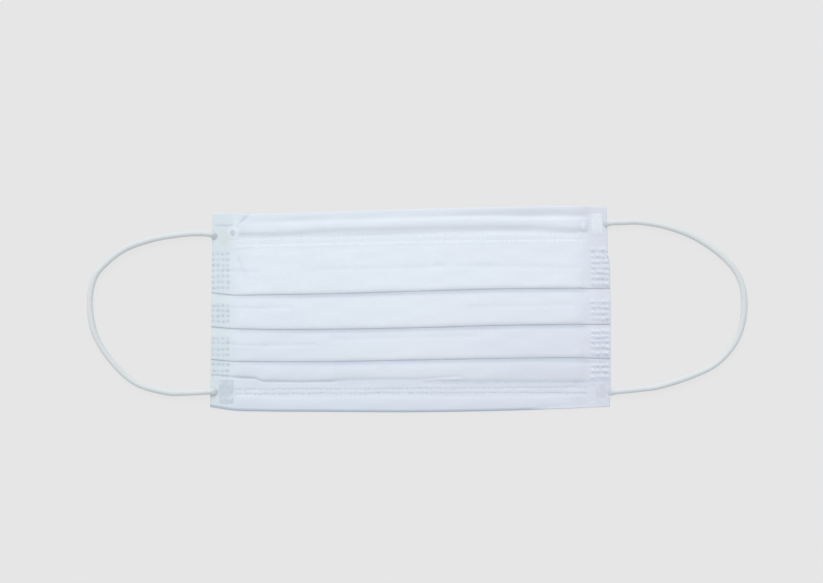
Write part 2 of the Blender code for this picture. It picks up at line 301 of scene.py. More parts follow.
def dot_rows(rows, start, end, seed):
    """Centres along slightly uneven rows."""
    random = np.random.default_rng(seed)
    centres = []
    for row in rows:
        across = np.arange(start, end, DOT_PITCH)
        across = across + random.uniform(0.0, DOT_PITCH) * 0.5 + random.normal(0.0, 0.22, len(across))
        up = smooth_curve(ROW_PLACES, row, across) + random.normal(0.0, 0.13, len(across))
        centres += list(zip(across.tolist(), up.tolist()))
    return centres


def side_dots(side):
    random = np.random.default_rng(side + 40)
    places = [(x, y) for y in SIDE_ROWS[side] for x in SIDE_COLUMNS[side]]
    return [(x + random.normal(0.0, 0.12), y + random.normal(0.0, 0.12)) for x, y in places]


DOTS = {
    # centres, half length, half width, depth of the dent, which is negative where the dot stands proud
    "top_hem": (dot_rows(TOP_ROWS, -75.4, 76.0, 31), 0.44, 0.38, -0.10),
    "bottom_hem": (
        dot_rows(BOTTOM_ROWS, -77.0, 77.0, 32) + dot_rows(HALF_ROW, 14.0, 77.0, 33), 0.74, 0.36, 0.10,
    ),
    "left_side": (side_dots(0), 0.54, 0.44, 0.30),
    "right_side": (side_dots(1), 0.60, 0.50, -0.26),
    "left_wire_end": ([(-77.9, 33.1)], 0.95, 1.50, 0.40),
    "right_wire_end": ([(75.95, 35.9)], 0.80, 2.20, -0.32),
}
# How far a dot's dent reaches, across and up, and the dash of shadow below a proud dot: its size and drop
DOT_REACH = (2.2, 2.6)
DASH_SIZE = (0.95, 0.50)
DASH_DROP = 1.05
# The range of the dots' strengths; proud dots wider than one limit get the painted dash of shadow, and dents
# deeper than the other get painted shade
DOT_STRENGTH = (0.5, 1.15)
DASH_FROM_WIDTH = 0.45
DARK_FROM_DEPTH = 0.2

# Single creases and ridges of the cloth: the two ends, the width and the rise, in mm
CREASES = (
    (-85.2, 37.1, -78.8, 36.7, 0.8, -0.14),
    (-86.8, -28.9, -67.5, -30.0, 0.6, -0.25),
    (-77.2, 37.2, -73.4, 37.4, 1.1, 0.20), (-75.0, 38.0, -71.2, 41.0, 0.8, -0.20),
    (74.4, 37.8, 74.4, 33.8, 0.7, -0.22), (77.5, 37.8, 77.5, 33.8, 0.7, -0.28),
    (5.9, -31.0, 22.1, -30.3, 0.8, 0.34), (6.5, -30.1, 22.6, -29.3, 0.8, -0.16),
    (77.0, -23.3, 87.5, -23.9, 0.6, -0.30), (66.0, -23.2, 80.0, -23.4, 0.8, -0.12),
    (-80.0, 0.9, -66.0, 0.4, 1.0, -0.14), (-66.0, 0.5, -52.0, 1.3, 1.2, -0.14),
    (-80.0, -15.2, -64.0, -15.8, 1.0, -0.17), (-65.0, -15.7, -42.0, -15.2, 1.3, -0.16),
    (-36.0, -12.8, 30.0, -11.4, 1.6, -0.12), (-40.0, 17.7, 15.0, 18.9, 1.6, -0.12),
    (10.0, 19.6, 75.0, 18.6, 1.6, -0.12), (-82.0, 17.2, -66.0, 16.4, 1.2, -0.15),
    (25.0, 1.2, 72.0, 2.4, 1.5, -0.12), (84.5, 24.6, 87.0, 21.0, 0.6, -0.40),
    (-75.4, 22.5, -72.0, 13.0, 2.0, -0.18), (-78.0, 25.5, -70.0, 27.0, 1.2, -0.12),
)
# Sharp creases, painted as thin dark lines of shade: the two ends and the width
CREASE_SHADE_LINES = (
    (-85.2, 37.0, -79.6, 36.7, 0.55), (-75.2, 37.6, -71.6, 41.2, 0.5),
    (-79.6, 36.9, -77.4, 37.6, 0.4),
)
# The pressed ring round the left end of the nose wire: its middle, radius, width and rise
WIRE_END_RING = (-77.9, 33.3, 1.85, 0.60)
WIRE_END_RISE = 0.34


def dents(x, y):
    """How deep the weld dots press the cloth in, and how much colour they paint: weld grey and painted
    shade, or painted highlight below 0.
    """
    pressed = np.zeros_like(x)
    weld_grey_and_painted_shade = np.zeros_like(x)
    random = np.random.default_rng(60)
    for centres, half_length, half_width, depth in DOTS.values():
        for cx, cy in centres:
            near = (np.abs(x - cx) < DOT_REACH[0]) & (np.abs(y - cy) < DOT_REACH[1])
            dx, dy = x[near] - cx, y[near] - cy
            d = (dx / half_length) ** 2 + (dy / half_width) ** 2
            strength = random.uniform(*DOT_STRENGTH)
            pressed[near] += depth * strength * np.exp(-0.7 * d)
            # Dents are painted greyer, for their melt and the shade in them; proud dots get a painted
            # highlight
            weld_grey_and_painted_shade[near] += math.copysign(strength, depth) * np.exp(-0.6 * d)
            # Painted shadow: a dash of shade below each wide proud dot
            if depth < 0.0 and half_width > DASH_FROM_WIDTH:
                dash = (dx / DASH_SIZE[0]) ** 2 + ((dy + DASH_DROP) / DASH_SIZE[1]) ** 2
                weld_grey_and_painted_shade[near] += 2.4 * strength * np.exp(-dash)
            # Painted shade in the deeper dents
            if depth > DARK_FROM_DEPTH:
                weld_grey_and_painted_shade[near] += 1.5 * strength * np.exp(-0.6 * d)
    return pressed, weld_grey_and_painted_shade


def shade(x, y):
    """Painted shade under the folds, in the creases and along the rolled bottom edge, and painted highlight,
    below 0, on fold edges.
    """
    opened = openness(x)
    soft = opened * blend(0.45, 1.0, smooth_step((x + 76.0) / 40.0))
    total = np.zeros_like(x)
    # Painted shadow below each fold's edge, and a painted highlight on the edge itself
    for name in FOLDS:
        off = off_line(name, x, y)
        total += soft * np.where(off < 0.0, 1.65 * np.exp(-((off + 0.85) ** 2)), 0.0)
        total -= opened * 1.1 * np.exp(-(((off - 0.1) / 0.55) ** 2))
    # Painted shade along the crease where the lowest panel meets the hem
    off = off_line("crease", x, y)
    left_part = 0.50 * np.exp(-((off / 0.8) ** 2))
    right_part = 0.80 * np.exp(-(((off + 0.5) / 1.1) ** 2))
    total += np.where(x < -32.0, left_part, right_part)
    # Painted shade in the grooves of the creases
    for x0, y0, x1, y1, width, rise in CREASES:
        total += max(0.0, -rise) * 2.0 * along_line(x, y, x0, y0, x1, y1, width * 0.7)
    # Painted thin dark lines of shade in the sharp creases
    for line in CREASE_SHADE_LINES:
        total += 1.7 * along_line(x, y, *line)
    # Painted shade along the rolled bottom edge
    rolled = 3.2 * smooth_step((1.4 - off_line("bottom_edge", x, y)) / 0.7)
    return total + rolled * smooth_step((62.0 - x) / 12.0)


def along_line(x, y, x0, y0, x1, y1, width):
    """Close to 1 on a straight line between two places, fading beside it and past its ends."""
    dx, dy = x1 - x0, y1 - y0
    length = math.hypot(dx, dy)
    along = ((x - x0) * dx + (y - y0) * dy) / length
    off = ((x - x0) * dy - (y - y0) * dx) / length
    inside = smooth_step(along / 3.0 + 0.5) * smooth_step((length - along) / 3.0 + 0.5)
    return inside * np.exp(-((off / width) ** 2) * 2.0)


def waves(x, y, seed, length_x, length_y, count=14):
    """A smooth random relief between about -1 and 1, of waves about length_x by length_y long."""
    random = np.random.default_rng(seed)
    total = np.zeros_like(x)
    for _ in range(count):
        fx = random.normal() / length_x
        fy = random.normal() / length_y
        total += np.sin(2 * math.pi * (fx * x + fy * y) + random.uniform(0, 2 * math.pi))
    return total / math.sqrt(count)


def off_line(name, x, y):
    """The distance up from one of the body's lines."""
    return y - np.interp(x, ACROSS, LINE[name])


def wire_end_ring(x, y):
    """Close to 1 on the pressed ring round the left end of the nose wire."""
    ring_x, ring_y, radius, width = WIRE_END_RING
    return np.exp(-(((np.hypot(x - ring_x, y - ring_y) - radius) / width) ** 2))


def relief(x, y):
    """How far the front of the cloth rises above its plain folded shape."""
    from_side = BODY_WIDTH / 2 - np.abs(x)
    opened = openness(x)
    beside_weld = np.exp(-(((from_side - 14.0) / 9.0) ** 2))
    broad = 0.10 * waves(x, y, 3, 70.0, 22.0)
    middling = 0.030 * waves(x, y, 5, 22.0, 9.0) * (1.0 + 1.6 * beside_weld)
    fine = 0.010 * waves(x, y, 8, 6.0, 4.0)
    pressed = 0.020 * waves(x, y, 9, 4.0, 4.0)
    total = blend(pressed, broad + middling + fine, opened)
    for x0, y0, x1, y1, width, rise in CREASES:
        total += rise * along_line(x, y, x0, y0, x1, y1, width)
    dip = FOLD_DIP * opened * blend(0.65, 1.0, smooth_step((x + 72.0) / 60.0))
    for name in FOLDS:
        off = off_line(name, x, y)
        total -= dip * np.where(off < 0.0, 0.4 * np.exp(-((off / 1.5) ** 2)), np.exp(-((off / 0.7) ** 2)))
    total += WIRE_END_RISE * wire_end_ring(x, y)
    sharp = smooth_step((-30.0 - x) / 8.0)
    crease = np.exp(-((off_line("crease", x, y) / blend(0.75, 0.45, sharp)) ** 2))
    total -= blend(0.18, 0.34, sharp) * crease
    uneven = 0.75 + 0.35 * waves(x, y * 0.0, 12, 9.0, 1.0)
    for left, middle, right, depth in ROW_LINES:
        line = smooth_curve(ROW_PLACES, (left, middle, right), x)
        along = depth * smooth_step((from_side - 9.0) / 3.0) * uneven
        total -= along * np.exp(-(((y - line) / 0.38) ** 2))
    return total


def grid_normals(points):
    """Normals of a grid of points, whose rows go down and whose columns go to the right."""
    down = np.gradient(points, axis=0)
    over = np.gradient(points, axis=1)
    normals = np.cross(down, over)
    return normals / np.maximum(np.linalg.norm(normals, axis=2, keepdims=True), 1e-12)


def add_object(name, data):
    """An object at the origin for a mesh, light or camera."""
    made = bpy.data.objects.new(name, data)
    bpy.context.collection.objects.link(made)
    return made


def mesh_piece(name, vertices, faces, material, attributes=()):
    """A smooth mesh object at the origin, with its values for each vertex."""
    mesh = bpy.data.meshes.new(name)
    mesh.from_pydata(np.asarray(vertices).tolist(), [], faces)
    for attribute, values in dict(attributes).items():
        values = np.asarray(values, dtype=np.float32)
        if values.ndim == 1:
            mesh.attributes.new(attribute, "FLOAT", "POINT").data.foreach_set("value", values)
        else:
            mesh.attributes.new(attribute, "FLOAT_COLOR", "POINT").data.foreach_set("color", values.ravel())
    mesh.shade_smooth()
    mesh.materials.append(material)
    return add_object(name, mesh)


def sheet_faces(rows, wide, kept_rows, kept_columns):
    """Faces of the outer grid, the coarser inner grid and the four borders between them."""
    base = rows * wide
    narrow = len(kept_columns)
    outer = np.arange(base).reshape(rows, wide)
    inner = base + np.arange(len(kept_rows) * narrow).reshape(len(kept_rows), narrow)

    def quads(grid):
        return np.stack([grid[:-1, :-1], grid[1:, :-1], grid[1:, 1:], grid[:-1, 1:]], axis=2).reshape(-1, 4)

    faces = quads(outer).tolist() + quads(inner)[:, ::-1].tolist()
    for n in range(len(kept_rows) - 1):
        a, b = kept_rows[n], kept_rows[n + 1]
        faces.append([int(inner[n, 0]), int(inner[n + 1, 0])] + outer[a:b + 1, 0][::-1].tolist())
        faces.append([int(inner[n + 1, -1]), int(inner[n, -1])] + outer[a:b + 1, -1].tolist())
    for n in range(narrow - 1):
        a, b = kept_columns[n], kept_columns[n + 1]
        faces.append([int(inner[0, n + 1]), int(inner[0, n])] + outer[0, a:b + 1].tolist())
        faces.append([int(inner[-1, n]), int(inner[-1, n + 1])] + outer[-1, a:b + 1][::-1].tolist())
    return faces


# The inner side of the sheet keeps one row in three and one column in five of the outer side
ROW_STEP = 3
COLUMN_STEP = 5


def cloth_tints(x, up, weld_grey_and_painted_shade):
    """Weld grey and painted shade on the front, whitening and painted highlight below 0, and the margin's
    share.
    """
    # Painted shade along the top rolled edge, which dulls the light it catches
    top_edge_shade = smooth_step((up - LINE["top_edge"] + 0.7) / 0.5) * smooth_step(FROM_SIDE / 10.0)
    # Painted light on the right weld's slope, which faces away from the lamp
    right_slope_highlight = 0.22 * np.exp(-(((FROM_SIDE - 9.5) / 3.0) ** 2)) * (ACROSS > 0.0)
    # The front is painted a little paler in the middle of the lower panels, easing the painted shade there
    paler = np.interp(up, (-33.0, -29.0, -15.0, 0.0, 15.0), (0.0, 0.40, 0.25, 0.15, 0.08))
    paler = paler * np.exp(-((x / 38.0) ** 2))
    weld_grey_and_painted_shade = weld_grey_and_painted_shade + 0.55 * top_edge_shade + shade(x, up) - 0.8 * wire_end_ring(x, up) - right_slope_highlight - paler
    corner = smooth_step((-69.5 - x) / 6.0) * smooth_step((up - 17.0) / 6.0)
    reach = np.where(ACROSS > 0.0, 19.0, 14.5)
    margin = np.maximum(smooth_step((reach - FROM_SIDE) / (reach - 4.5))[None, :], 0.4 * corner)
    return np.clip(weld_grey_and_painted_shade, -1.0, 3.2), margin


def cloth_body(material):
    """The pleated cloth as one closed sheet with a fine outer side and a coarser inner side."""
    sheet = Sheet()
    top_band(sheet)
    lower_band(sheet, pleats(sheet))
    up, height, front = np.array(sheet.up), np.array(sheet.height), np.array(sheet.front)[:, None]
    left, right = side_edges(up)
    x = left + (ACROSS / BODY_WIDTH + 0.5) * (right - left)
    on_front = (front > 0.0).astype(float)
    pressed, weld_grey_and_painted_shade = dents(x, up)
    height = height + relief(x, up) * front - pressed * on_front
    points = np.stack([x, up, height], axis=2)
    creased = sum(np.exp(-((off_line(name, x, up) / 1.5) ** 2)) for name in FOLDS)
    half = blend(WELDED_CLOTH, CLOTH, OPENED) / 2 * (1.0 - FOLD_THINNING * creased * OPENED)
    outward = grid_normals(points) * half[..., None]
    kept_rows = sorted(set(range(0, len(up), ROW_STEP)) | {len(up) - 1})
    kept_columns = list(range(0, len(ACROSS), COLUMN_STEP))
    kept = np.ix_(kept_rows, kept_columns)
    outer, inner = points + outward, (points - outward)[kept]
    vertices = np.concatenate([outer.reshape(-1, 3), inner.reshape(-1, 3)]) * MM
    faces = sheet_faces(len(up), len(ACROSS), kept_rows, kept_columns)
    weld_grey_and_painted_shade, margin = cloth_tints(x, up, weld_grey_and_painted_shade)
    weld_grey_and_painted_shade = weld_grey_and_painted_shade * on_front
    hidden = np.zeros(len(kept_rows) * len(kept_columns))
    # Weld grey with painted shade, and whitening with painted highlight, for the material
    attributes = {
        "weld_grey_and_painted_shade": np.concatenate([np.maximum(weld_grey_and_painted_shade, 0.0).ravel(), hidden]),
        "whitened_and_painted_highlight": np.concatenate([np.maximum(-weld_grey_and_painted_shade, 0.0).ravel(), hidden]),
        "pressed": np.concatenate([margin.ravel(), margin[kept].ravel()]),
    }
    return mesh_piece("pleated_cloth", vertices, faces, material, attributes)


# Pressed ends of the ear loops, in mm: centre, size, turn in degrees, thickness and depth of the knurl
PADS = {
    "loop_weld_upper_left": (-81.8, 31.8, 5.6, 8.8, 0.0, 0.02, 0.06),
    "loop_weld_lower_left": (-80.7, -36.1, 8.2, 12.4, 0.0, 0.02, 0.34),
    "loop_weld_upper_right": (81.7, 37.2, 6.2, 11.0, 5.0, 0.06, 0.30),
    "loop_weld_lower_right": (83.5, -34.4, 5.8, 9.8, 0.0, 0.04, 0.20),
}
PAD_COLOURS = {
    # the cloth round it, its plain part, its knurled part
    "loop_weld_upper_left": ("#D0DCE2", "#D3DEE2", "#D7E3E5"),
    "loop_weld_lower_left": ("#CDD8E0", "#C2CDD9", "#A6B1C2"),
    "loop_weld_upper_right": ("#D0D5E3", "#D2DAE5", "#F0F7FB"),
    "loop_weld_lower_right": ("#CCD1E0", "#CACFDE", "#D8DEEA"),
}
PAD_CORNER = 2.0
# The lozenges of the knurl: their pitch and slant, and how far each end reaches into the cloth
KNURL_PITCH = 1.05
KNURL_SLANT = 0.75
PAD_DEPTH = 0.22
# Points across and up each end, and one in four of them on its hidden side
PAD_POINTS = (45, 81)
PAD_STEP = 4


def knurled_share(name, u, v, width, tall):
    """Where the knurl stands out: the foot pressed each of the four ends differently."""
    patches = smooth_step(0.5 + 0.9 * waves(u, v, 17, 4.0, 4.5, 8))
    if name == "loop_weld_upper_right":
        return smooth_step((v / tall + 0.48) / 0.40) * blend(0.75, 1.0, patches)
    if name == "loop_weld_lower_left":
        return patches * blend(0.6, 1.0, smooth_step(0.5 - v / tall))
    if name == "loop_weld_lower_right":
        return patches * smooth_step((0.15 - u / width) / 0.3)
    return 0.5 * patches


def rounded_grid(width, tall):
    """Points over an oblong with rounded corners, and how far each lies in from its rim."""
    u, v = np.meshgrid(
        np.linspace(-0.5, 0.5, PAD_POINTS[0]) * width, np.linspace(0.5, -0.5, PAD_POINTS[1]) * tall,
    )
    beyond_u = np.maximum(np.abs(u) - (width / 2 - PAD_CORNER), 0.0)
    beyond_v = np.maximum(np.abs(v) - (tall / 2 - PAD_CORNER), 0.0)
    reach = np.maximum(np.hypot(beyond_u, beyond_v), 1e-9)
    shrink = np.where(reach > 1e-8, np.maximum(beyond_u, beyond_v) / reach, 1.0)
    u = np.sign(u) * (np.abs(u) - beyond_u * (1.0 - shrink))
    v = np.sign(v) * (np.abs(v) - beyond_v * (1.0 - shrink))
    return u, v, PAD_CORNER - reach * shrink


def pad(name, material, over_cloth):
    """A knurled patch whose rim sinks softly into the cloth."""
    across, up, width, tall, turn, thickness, knurl = PADS[name]
    u, v, rim = rounded_grid(width, tall)
    angle = math.radians(turn)
    x = across + u * math.cos(angle) - v * math.sin(angle)
    y = up + u * math.sin(angle) + v * math.cos(angle)
    one_way = np.cos(2 * math.pi * (u + KNURL_SLANT * v) / KNURL_PITCH)
    other_way = np.cos(2 * math.pi * (u - KNURL_SLANT * v) / KNURL_PITCH)
    ridges = 0.6 * one_way + 0.4 * other_way
    share = knurled_share(name, u, v, width, tall)
    inside = smooth_step(rim - 0.3)
    rise = blend(-0.10, thickness, smooth_step(rim / 1.1)) + knurl * 0.5 * ridges * share * inside
    ground = np.array([over_cloth(px, py) for px, py in zip(x.ravel(), y.ravel())]).reshape(x.shape)
    top = np.stack([x, y, ground + rise], axis=2)
    bottom = np.stack([x, y, ground - PAD_DEPTH], axis=2)[::PAD_STEP, ::PAD_STEP]
    rows, wide = x.shape
    faces = sheet_faces(rows, wide, list(range(0, rows, PAD_STEP)), list(range(0, wide, PAD_STEP)))
    vertices = np.concatenate([top.reshape(-1, 3), bottom.reshape(-1, 3)]) * MM
    cloth_tint, plain, knurled = (np.array(linear(code)) for code in PAD_COLOURS[name])
    tint = blend(plain, knurled, (share * (0.6 + 0.4 * ridges))[..., None])
    ragged = smooth_step(0.75 + 0.7 * waves(u, v, 18, 2.4, 2.4, 10))
    inner = smooth_step(rim / 1.4) * ragged if name == "loop_weld_lower_left" else smooth_step(rim / 1.2)
    tint = blend(cloth_tint, tint, inner[..., None]).reshape(-1, 4)
    tints = np.concatenate([tint, np.tile(plain, (bottom.shape[0] * bottom.shape[1], 1))])
    return mesh_piece(name.replace("loop_weld", "pressed_end"), vertices, faces, material, {"tint": tints})


# Ear loops: the solids' routes in metres, with their ends let down onto the thinner cloth and into the pads
CORD_DIAMETER = 2.6 * MM
EAR_LOOP_ROUTES = {
    "ear_loop_left": (
        (-0.0846, 0.0320, 0.00052), (-0.0858, 0.0323, 0.0009), (-0.0882, 0.0331, 0.0017),
        (-0.0940, 0.0334, 0.0016), (-0.1014, 0.0328, 0.00144), (-0.1136, 0.0307, 0.00142),
        (-0.1254, 0.0264, 0.00142), (-0.1352, 0.0186, 0.00142), (-0.1392, 0.0120, 0.00142),
        (-0.1405, 0.0013, 0.00142), (-0.1382, -0.0110, 0.00142), (-0.1309, -0.0227, 0.00142),
        (-0.1205, -0.0322, 0.00142), (-0.1075, -0.0361, 0.00142), (-0.1002, -0.0365, 0.00144),
        (-0.0940, -0.0363, 0.0016), (-0.0885, -0.0360, 0.0017), (-0.0856, -0.0360, 0.0009),
        (-0.0843, -0.0361, 0.00055),
    ),
    "ear_loop_right": (
        (0.0843, 0.0374, 0.0006), (0.0857, 0.0377, 0.0010), (0.0880, 0.0381, 0.0017),
        (0.0935, 0.0383, 0.0016), (0.1009, 0.0383, 0.00144), (0.1132, 0.0361, 0.00142),
        (0.1255, 0.0312, 0.00142), (0.1378, 0.0223, 0.00142), (0.1447, 0.0125, 0.00142),
        (0.1462, 0.0000, 0.00142), (0.1431, -0.0128, 0.00142), (0.1348, -0.0231, 0.00142),
        (0.1243, -0.0286, 0.00142), (0.1095, -0.0335, 0.00142), (0.1021, -0.0347, 0.00144),
        (0.0953, -0.0354, 0.0016), (0.0905, -0.0358, 0.0017), (0.0880, -0.0361, 0.0011),
        (0.0865, -0.0362, 0.0007),
    ),
}
MELTED_LENGTH = 4.2 * MM
TIP_LENGTH = 1.5 * MM
# The knit: wales round the cord, which make one turn in 24 mm, and courses along it
WALES = 9
TWIST = 24 * MM
COURSE = 0.9 * MM
RING_SPACING = 0.30 * MM
ROUND = 27


def smooth_points(route, spacing):
    """Points at an even spacing along the smooth curve through a route, and the curve's length."""
    route = [Vector(point) for point in route]
    fine = []
    for i in range(len(route) - 1):
        p0, p1, p2, p3 = (route[min(max(j, 0), len(route) - 1)] for j in range(i - 1, i + 3))
        for step in range(24):
            t = step / 24
            fine.append(
                0.5 * (2 * p1 + (p2 - p0) * t + (2 * p0 - 5 * p1 + 4 * p2 - p3) * t**2
                       + (3 * p1 - p0 - 3 * p2 + p3) * t**3)
            )
    fine.append(route[-1])
    fine = np.array(fine)
    lengths = np.concatenate([[0.0], np.cumsum(np.linalg.norm(np.diff(fine, axis=0), axis=1))])
    goals = np.linspace(0.0, lengths[-1], max(2, round(lengths[-1] / spacing)) + 1)
    return np.stack([np.interp(goals, lengths, fine[:, axis]) for axis in range(3)], axis=1), lengths[-1]


def tube(points, half_widths, half_heights, around):
    """Vertices and faces of a closed tube along points, flat or round, with its rings upright."""
    tangents = np.gradient(points, axis=0)
    tangents /= np.linalg.norm(tangents, axis=1, keepdims=True)
    sides = np.cross(tangents, (0.0, 0.0, 1.0))
    sides /= np.linalg.norm(sides, axis=1, keepdims=True)
    ups = np.cross(sides, tangents)
    angles = np.linspace(0.0, 2 * math.pi, around, endpoint=False)
    rings = (
        points[:, None] + sides[:, None] * (half_widths * np.cos(angles))[..., None]
        + ups[:, None] * (half_heights * np.sin(angles))[..., None]
    )
    count = len(points)
    vertices = np.concatenate([rings.reshape(-1, 3), points[:1], points[-1:]])
    faces = []
    for r in range(count - 1):
        for c in range(around):
            d = (c + 1) % around
            faces.append((r * around + c, (r + 1) * around + c, (r + 1) * around + d, r * around + d))
    first, last = count * around, count * around + 1
    end = (count - 1) * around
    faces += [(first, c, (c + 1) % around) for c in range(around)]
    faces += [(last, end + (c + 1) % around, end + c) for c in range(around)]
    return vertices, faces


def ear_loop(name, material):
    """One knitted elastic cord along its route, flattened where its ends are melted to the cloth."""
    points, length = smooth_points(EAR_LOOP_ROUTES[name], RING_SPACING)
    along = np.linspace(0.0, length, len(points))[:, None]
    from_end = np.minimum(along, length - along)
    open_share = smooth_step(from_end / MELTED_LENGTH)
    angles = np.linspace(0.0, 2 * math.pi, ROUND, endpoint=False)
    stitch = 0.005 * np.cos(WALES * angles + 2 * math.pi * along / TWIST)
    stitch = stitch + 0.002 * np.cos(2 * math.pi * along / COURSE + math.pi * np.cos(WALES * angles))
    stretch = 1.0 + 0.06 * waves(along / MM, along * 0.0, 21, 40.0, 1.0, 6)
    tip = np.sqrt(np.clip(from_end / TIP_LENGTH, 0.03, 1.0))
    radius = CORD_DIAMETER / 2 * stretch * (1.0 + stitch * open_share) * tip
    half_widths = radius * blend(1.35, 1.0, open_share)
    vertices, faces = tube(points, half_widths, radius * blend(0.35, 1.0, open_share), ROUND)
    every = np.ones(ROUND)
    values = {
        "melted": np.concatenate([((1.0 - open_share) * every).ravel(), [1.0, 1.0]]),
        "along": np.concatenate([(along * every).ravel(), [0.0, length]]) / MM,
        "around": np.concatenate([(along * 0.0 + angles).ravel(), [0.0, 0.0]]),
    }
    return mesh_piece(name + "_cord", vertices, faces, material, values), points, length


def nose_wire(material):
    """The flat coated strip in the channel of the top hem."""
    across = np.linspace(WIRE_REACH[0], WIRE_REACH[1], WIRE_RINGS)
    up = smooth_curve(PLACES, LINES["top_edge"], across) - WIRE_DROP
    points = np.stack([across, up, np.full_like(across, WIRE_HEIGHT)], axis=1) * MM
    angles = np.linspace(0.0, 2 * math.pi, WIRE_ROUND, endpoint=False)
    square = np.maximum(np.abs(np.cos(angles)), np.abs(np.sin(angles))) ** 0.8 * np.ones((WIRE_RINGS, 1))
    half_widths = WIRE_WIDTH / 2 * MM / square
    vertices, faces = tube(points, half_widths, WIRE_THICKNESS / 2 * MM / square, WIRE_ROUND)
    return mesh_piece("nose_wire_strip", vertices, faces, material)


def linear(code):
    """An sRGB hex colour as linear red, green, blue and alpha."""
    channels = [int(code[i:i + 2], 16) / 255 for i in (1, 3, 5)]
    return tuple(c / 12.92 if c <= 0.04045 else ((c + 0.055) / 1.055) ** 2.4 for c in channels) + (1.0,)


def add_node(tree, kind, inputs=None, **settings):
    """One node with its settings; an input is a value, or another node's output to link."""
    node = tree.nodes.new(kind)
    for name, value in settings.items():
        setattr(node, name, value)
    for name, value in (inputs or {}).items():
        if isinstance(value, bpy.types.NodeSocket):
            tree.links.new(value, node.inputs[name])
        else:
            node.inputs[name].default_value = value
    return node


def new_material(name, roughness, ior=1.5, sheen=0.0):
    material = bpy.data.materials.new(name)
    material.use_nodes = True
    tree = material.node_tree
    shader = tree.nodes["Principled BSDF"]
    shader.inputs["Roughness"].default_value = roughness
    shader.inputs["IOR"].default_value = ior
    shader.inputs["Sheen Weight"].default_value = sheen
    return material, tree, shader


def in_mm(tree):
    """Object coordinates in millimetres."""
    place = add_node(tree, "ShaderNodeTexCoord").outputs["Object"]
    return add_node(tree, "ShaderNodeMapping", {"Vector": place, "Scale": (1 / MM,) * 3}).outputs[0]


def noise(tree, place, scale, detail, distortion=0.0):
    inputs = {"Vector": place, "Scale": scale, "Detail": detail, "Distortion": distortion}
    return add_node(tree, "ShaderNodeTexNoise", inputs).outputs[0]


def attribute(tree, name, output="Fac"):
    """A value that the mesh holds at each vertex."""
    return add_node(tree, "ShaderNodeAttribute", attribute_name=name).outputs[output]


def maths(tree, operation, *values):
    """The result of one operation on values or other nodes' outputs."""
    return add_node(tree, "ShaderNodeMath", dict(enumerate(values)), operation=operation).outputs[0]


def mix_colour(tree, share, first, second, strength=1.0):
    """Mixes two colours, each a hex code or another node's output, by a share times a strength."""
    if strength != 1.0:
        share = maths(tree, "MULTIPLY", share, strength)
    first, second = (linear(colour) if isinstance(colour, str) else colour for colour in (first, second))
    return add_node(tree, "ShaderNodeMix", {0: share, 6: first, 7: second}, data_type="RGBA").outputs[2]


def add_bump(tree, shader, height, strength, distance):
    """Relief in the material, with its depth in mm."""
    inputs = {"Strength": strength, "Distance": distance * MM, "Height": height}
    bump = add_node(tree, "ShaderNodeBump", inputs).outputs[0]
    tree.links.new(bump, shader.inputs["Normal"])


def spunbond():
    """Spunbond polypropylene: fine filaments laid at random and rolled together at small points, so it is
    matt, slightly cloudy and a little translucent. Welds turn it greyer; its colour also carries painted
    shade and highlight."""
    material, tree, shader = new_material("spunbond_polypropylene", 0.75, ior=1.49, sheen=0.15)
    shader.inputs["Subsurface Weight"].default_value = 0.15
    shader.inputs["Subsurface Radius"].default_value = (1.0, 1.0, 1.0)
    shader.inputs["Subsurface Scale"].default_value = 0.1 * MM
    place = in_mm(tree)
    # Patches of thicker and thinner web, 6 mm across
    clouds = noise(tree, place, 0.16, 3.0)
    # Filaments of 0.02 mm are too fine to show, so their tangle is drawn 0.5 mm wide
    tangle = noise(tree, place, 2.0, 2.0, distortion=1.5)
    # Rolled bond points, 1.6 mm apart on the diagonal
    turned = add_node(tree, "ShaderNodeMapping", {
        "Vector": place, "Rotation": (0.0, 0.0, math.pi / 4), "Scale": (1.0, 1.0, 0.0),
    }).outputs[0]
    points = add_node(tree, "ShaderNodeTexVoronoi", {
        "Vector": turned, "Scale": 0.62, "Randomness": 0.45,
    }).outputs[0]
    bond = add_node(tree, "ShaderNodeMapRange", {0: points, 1: 0.10, 2: 0.45, 3: 1.0, 4: 0.0}).outputs[0]
    # Painted shade: the web is painted darker towards the lower right, where less light falls, and a little
    # more violet to the right
    where = add_node(tree, "ShaderNodeSeparateXYZ", {"Vector": place}).outputs
    rightward = add_node(tree, "ShaderNodeMapRange", {0: where[0], 1: -80.0, 2: 80.0}).outputs[0]
    downward_shade = add_node(tree, "ShaderNodeMapRange", {0: where[1], 1: 12.0, 2: -22.0}).outputs[0]
    colour = mix_colour(tree, clouds, "#DDE6F0", "#E3EBF5")
    colour = mix_colour(tree, rightward, colour, "#DFE4EE", 0.4)
    lower_right_shade = mix_colour(tree, rightward, "#D7E0EB", "#D6DCE8")
    colour = mix_colour(tree, downward_shade, colour, lower_right_shade, 0.9)
    colour = mix_colour(tree, bond, colour, "#D0DBE7", 0.13)
    margin = mix_colour(tree, rightward, "#D1DDE1", "#D1D5E3")
    colour = mix_colour(tree, attribute(tree, "pressed"), colour, margin, 0.60)
    # Weld grey with painted shade, then whitening with painted highlight
    colour = mix_colour(tree, attribute(tree, "weld_grey_and_painted_shade"), colour, "#A8B6C8", 0.27)
    colour = mix_colour(tree, attribute(tree, "whitened_and_painted_highlight"), colour, "#EEF5FB", 0.55)
    tree.links.new(colour, shader.inputs["Base Color"])
    height = maths(tree, "MULTIPLY_ADD", tangle, 0.6, clouds)
    height = maths(tree, "MULTIPLY_ADD", bond, -0.25, height)
    add_bump(tree, shader, height, 0.3, 0.08)
    return material


